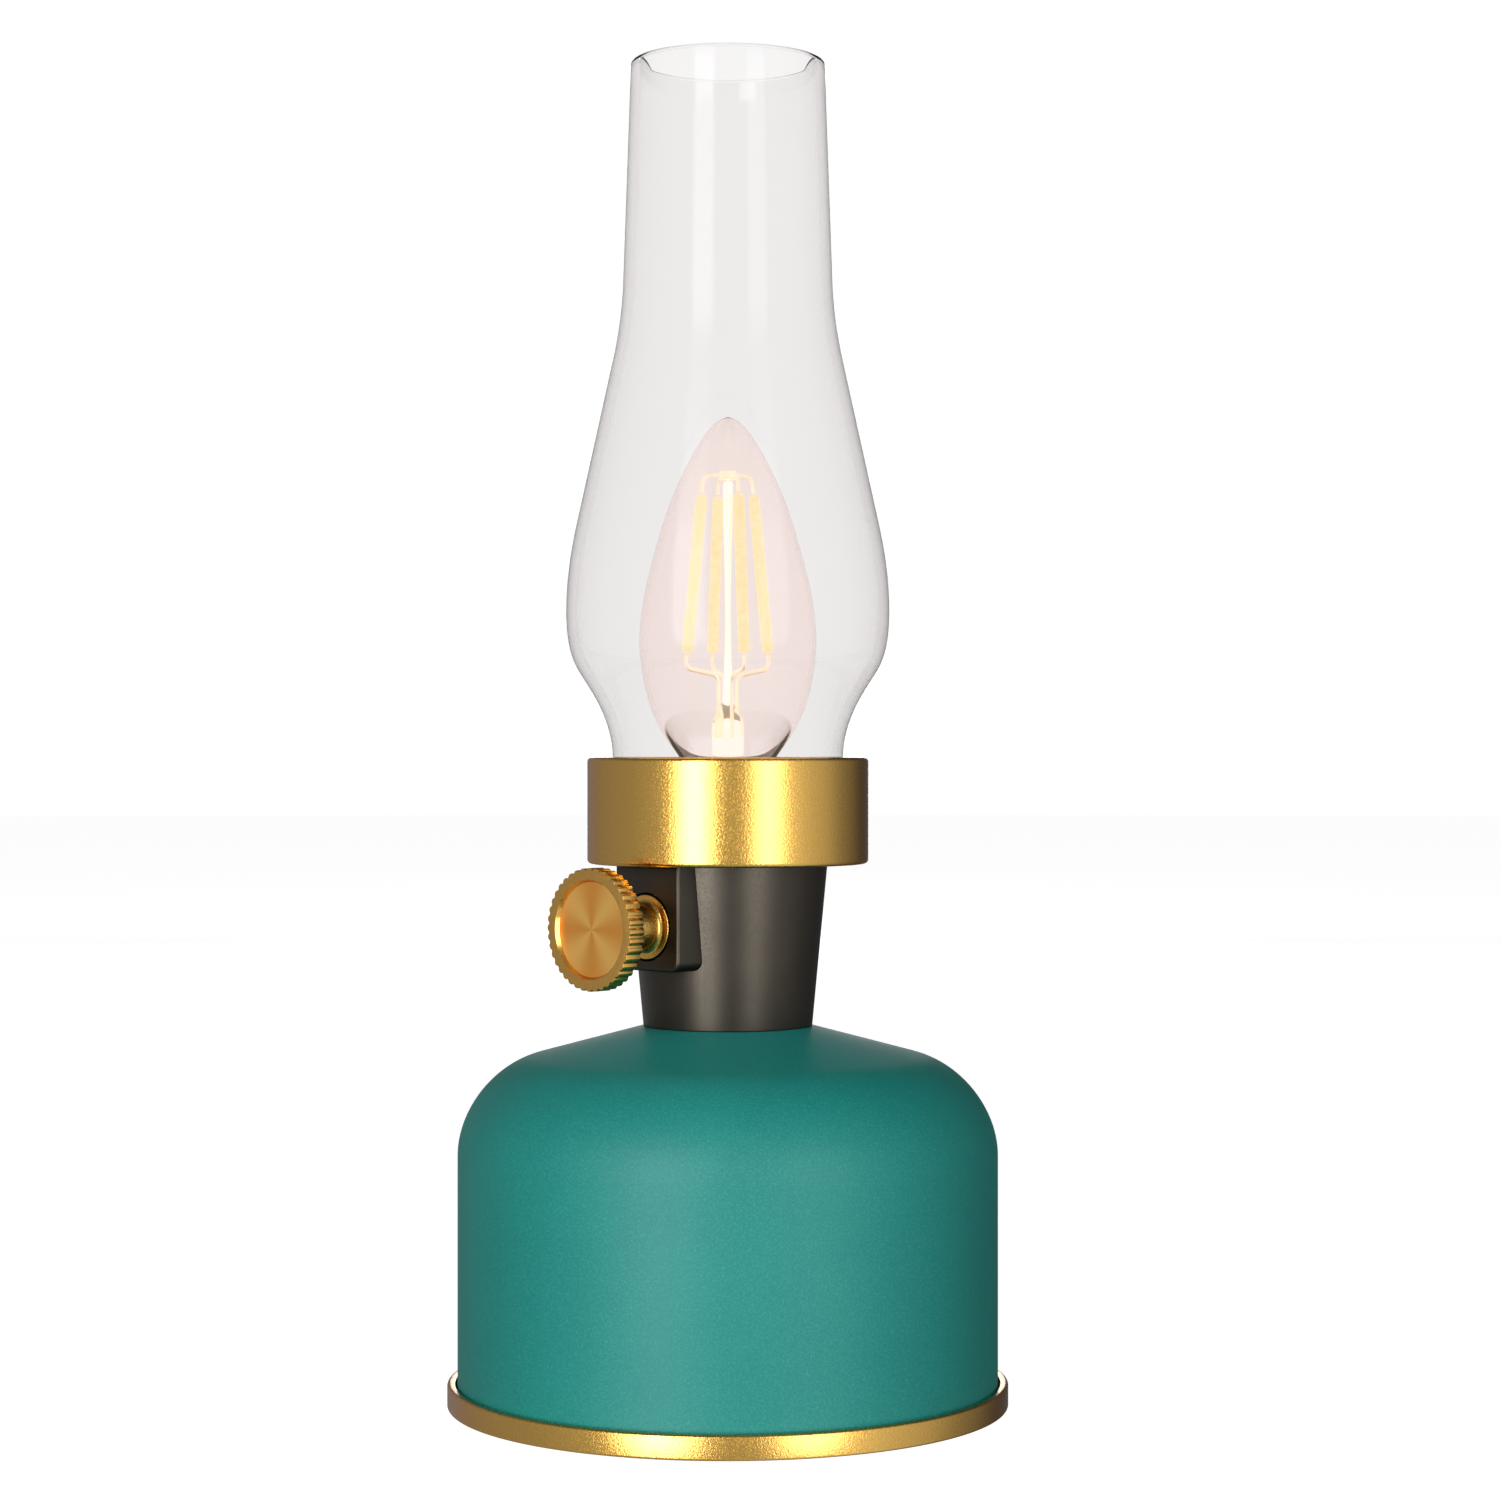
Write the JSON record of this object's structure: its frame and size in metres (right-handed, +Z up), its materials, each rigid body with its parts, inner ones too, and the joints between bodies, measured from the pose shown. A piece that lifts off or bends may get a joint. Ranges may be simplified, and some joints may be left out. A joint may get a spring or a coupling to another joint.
{
  "type": "table lamp",
  "caption": "Cordless table lamp in the form of an oil lamp: domed base, dark neck with a knurled dimmer knob, brass gallery, glass chimney and a filament-style candle bulb.",
  "frame": {"origin": "centre of the foot pad's underside, on the table", "axes": "+Z up along the lamp's axis, -Y out along the dimmer knob's axis, +Y out of the charging port"},
  "size_m": [0.11, 0.11, 0.2646],
  "materials": {
    "silicone": "matte moulded silicone",
    "seal_silicone": "translucent moulded silicone",
    "strap_silicone": "matte moulded silicone",
    "brass": "satin, turned and lacquered",
    "knob_brass": "satin, knurled",
    "spun_brass": "circular spun finish",
    "spring_brass": "bright stamped",
    "zinc_steel": "zinc-plated sheet",
    "screw_steel": "zinc-plated",
    "connector_steel": "bright stamped",
    "nickel": "nickel-plated",
    "teal_powder_coat": "fine-textured powder coat",
    "gunmetal": "satin dark gunmetal",
    "black_plastic": "fine moulded texture",
    "white_plastic": "moulded nylon",
    "holder_plastic": "moulded, heat-resistant",
    "dimmer_plastic": "moulded",
    "phenolic": "phenolic paper laminate",
    "circuit_board": "solder mask over glass-fibre laminate",
    "chip_plastic": "moulded epoxy",
    "ferrite": "sintered ferrite",
    "capacitor_can": "drawn can",
    "cell_wrap": "heat-shrunk film",
    "lead_insulation": "extruded silicone insulation",
    "chimney_glass": "clear blown glass",
    "bulb_glass": "clear blown glass",
    "stem_glass": "clear pressed glass",
    "black_glass": "vitrified insulator",
    "filament_phosphor": "phosphor silicone coating",
    "support_wire": "drawn nickel wire"
  },
  "bodies": {
    "root": {"foot_pad": "silicone", "base_ring": "brass", "base_plate": "zinc_steel", "base_screws": "screw_steel", "base_shell": "teal_powder_coat", "charge_port_bezel": "black_plastic", "usb_c_socket": "connector_steel", "charge_board": "circuit_board", "board_screws": "screw_steel", "board_headers": "white_plastic", "board_chips": "chip_plastic", "board_inductor": "ferrite", "board_capacitors": "capacitor_can", "battery_cells": "cell_wrap", "battery_cradle": "black_plastic", "cradle_screws": "screw_steel", "battery_strap": "strap_silicone", "battery_tabs": "nickel", "battery_leads": "lead_insulation", "neck_housing": "gunmetal", "neck_washer": "zinc_steel", "neck_nut": "brass", "dimmer_body": "dimmer_plastic", "dimmer_bushing": "nickel", "dimmer_wafer": "phenolic", "dimmer_terminals": "nickel", "dimmer_washer": "zinc_steel", "dimmer_nut": "nickel", "dimmer_leads": "lead_insulation", "gallery_floor": "zinc_steel", "gallery_screws": "screw_steel", "gallery_band": "brass", "chimney_seal": "seal_silicone", "lampholder_body": "holder_plastic", "lampholder_screws": "screw_steel", "lampholder_screw_shell": "nickel", "lampholder_contact": "spring_brass", "lampholder_terminals": "spring_brass", "lamp_leads": "lead_insulation"},
    "chimney": {"glass_chimney": "chimney_glass"},
    "knob": {"dimmer_wiper": "phenolic", "dimmer_shaft": "nickel", "knob_stem": "brass", "knob_grub_screw": "screw_steel", "knob_disc": "knob_brass", "knob_face": "spun_brass"},
    "bulb_carrier": {"bulb_contact": "nickel"},
    "bulb": {"bulb_cap_insulator": "black_glass", "bulb_cap": "nickel", "bulb_envelope": "bulb_glass", "bulb_stem": "stem_glass", "filament_1": "filament_phosphor", "filament_2": "filament_phosphor", "filament_3": "filament_phosphor", "filament_4": "filament_phosphor", "filament_links": "support_wire"}
  },
  "joints": [
    {"name": "knob_turn", "type": "hinge", "parent": "root", "child": "knob", "pos_m": [0, -0.0352, 0.0953], "axis": [0, -1, 0], "range_deg": [-60, 210]},
    {"name": "chimney_lift", "type": "slide", "parent": "root", "child": "chimney", "axis": [0, 0, 1], "range_m": [0, 0.1]},
    {"name": "bulb_rise", "type": "slide", "parent": "root", "child": "bulb_carrier", "axis": [0, 0, 1], "range_m": [0, 0.0142]},
    {"name": "bulb_turn", "type": "hinge", "parent": "bulb_carrier", "child": "bulb", "pos_m": [0, 0, 0.1], "axis": [0, 0, 1], "range_deg": [0, 1800]}
  ],
  "couplings": [
    {"joint": "bulb_rise", "follows": "bulb_turn", "m_per_rad": 0.00044882}
  ]
}
